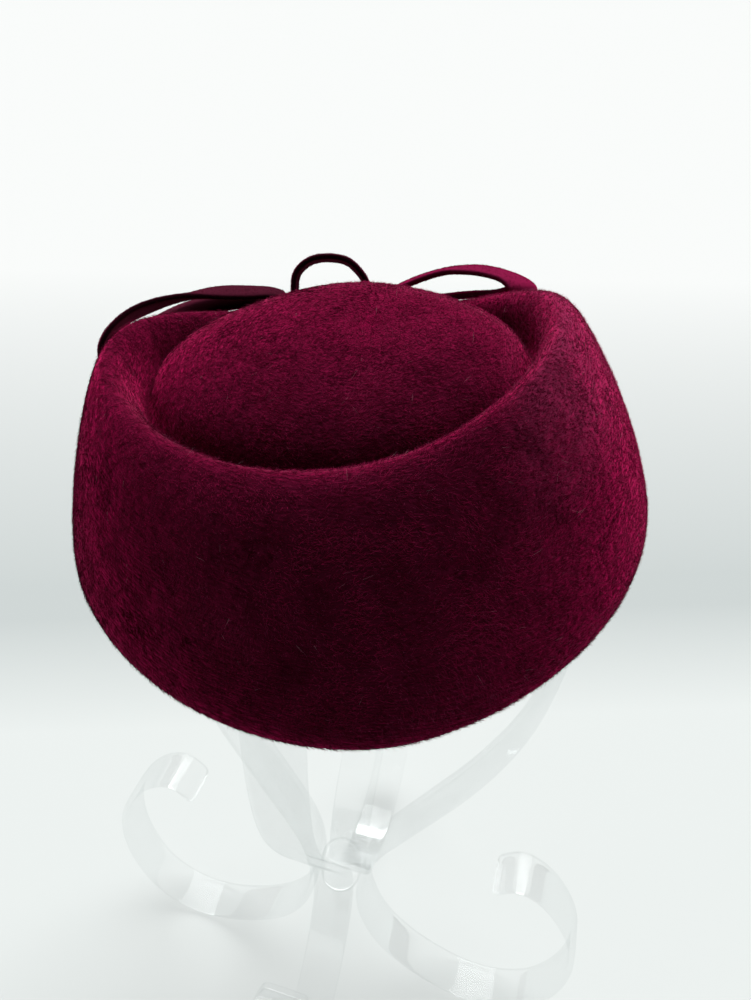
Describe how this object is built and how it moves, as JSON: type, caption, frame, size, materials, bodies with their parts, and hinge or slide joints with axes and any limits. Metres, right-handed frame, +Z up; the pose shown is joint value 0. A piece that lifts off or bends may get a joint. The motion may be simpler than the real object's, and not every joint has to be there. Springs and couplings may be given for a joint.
{
  "type": "pillbox hat on a clear stand",
  "caption": "Velour felt pillbox hat with a flared wall, rounded rim, sunken well and domed tip, trimmed with felt loops, resting on a clear scroll-footed display stand.",
  "frame": {"origin": "on the floor, under the middle of the stand's four feet", "axes": "+Z up, +Y towards the side of the hat that carries the loops, +X to the right as seen from the plain side"},
  "size_m": [0.2324, 0.2324, 0.3853],
  "materials": {
    "felt": "deep crimson velour felt with a short brushed nap",
    "trim_felt": "the same felt cut in strips, a little darker",
    "clear_plastic": "clear polished acrylic"
  },
  "bodies": {
    "root": {"felt_body": "felt", "left_loop": "trim_felt", "centre_loop": "trim_felt", "right_loop": "trim_felt", "stand_strip_1": "clear_plastic", "stand_strip_2": "clear_plastic", "stand_strip_3": "clear_plastic", "stand_strip_4": "clear_plastic", "stand_hub": "clear_plastic"}
  },
  "joints": []
}
